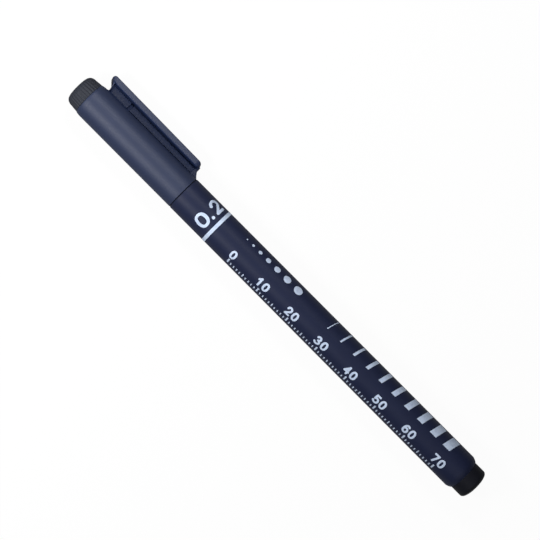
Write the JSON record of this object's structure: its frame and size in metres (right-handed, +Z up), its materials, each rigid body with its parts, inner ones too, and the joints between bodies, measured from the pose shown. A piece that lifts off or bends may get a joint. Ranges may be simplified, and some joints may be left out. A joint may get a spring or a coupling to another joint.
{
  "type": "drawing pen",
  "caption": "Capped fineliner drawing pen lying on its side: slim tapered barrel with a rear plug, pull-off cap with a pocket clip and a ribbed crown, fine sleeved nib inside.",
  "frame": {"origin": "centre of the bounding box on the surface that the pen lies on", "axes": "+X along the pen from the crown to the rear plug, +Z up from the surface, +Y to the side that the clip points to"},
  "size_m": [0.137, 0.0134, 0.0096],
  "materials": {
    "cap_plastic": "fine moulded satin, dark indigo",
    "barrel_plastic": "semi-gloss moulding, very dark indigo, with pale printed marks",
    "crown_plastic": "matt charcoal, ribbed",
    "black_plastic": "smooth black",
    "liner_plastic": "natural translucent white",
    "steel": "drawn and polished",
    "nib_plastic": "ink-stained",
    "ink_fibre": "fibre soaked with black ink",
    "film": "clear film"
  },
  "bodies": {
    "pen": {"barrel": "barrel_plastic", "front_section": "black_plastic", "nib_sleeve": "steel", "nib": "nib_plastic", "ink_relay": "ink_fibre", "reservoir_core": "ink_fibre", "reservoir_wrap": "film", "rear_plug": "black_plastic"},
    "cap": {"cap_shell": "cap_plastic", "cap_crown": "crown_plastic", "inner_cap": "liner_plastic"}
  },
  "joints": [
    {"name": "cap_pull", "type": "slide", "parent": "pen", "child": "cap", "axis": [-1, 0, 0], "range_m": [0, 0.045]}
  ]
}
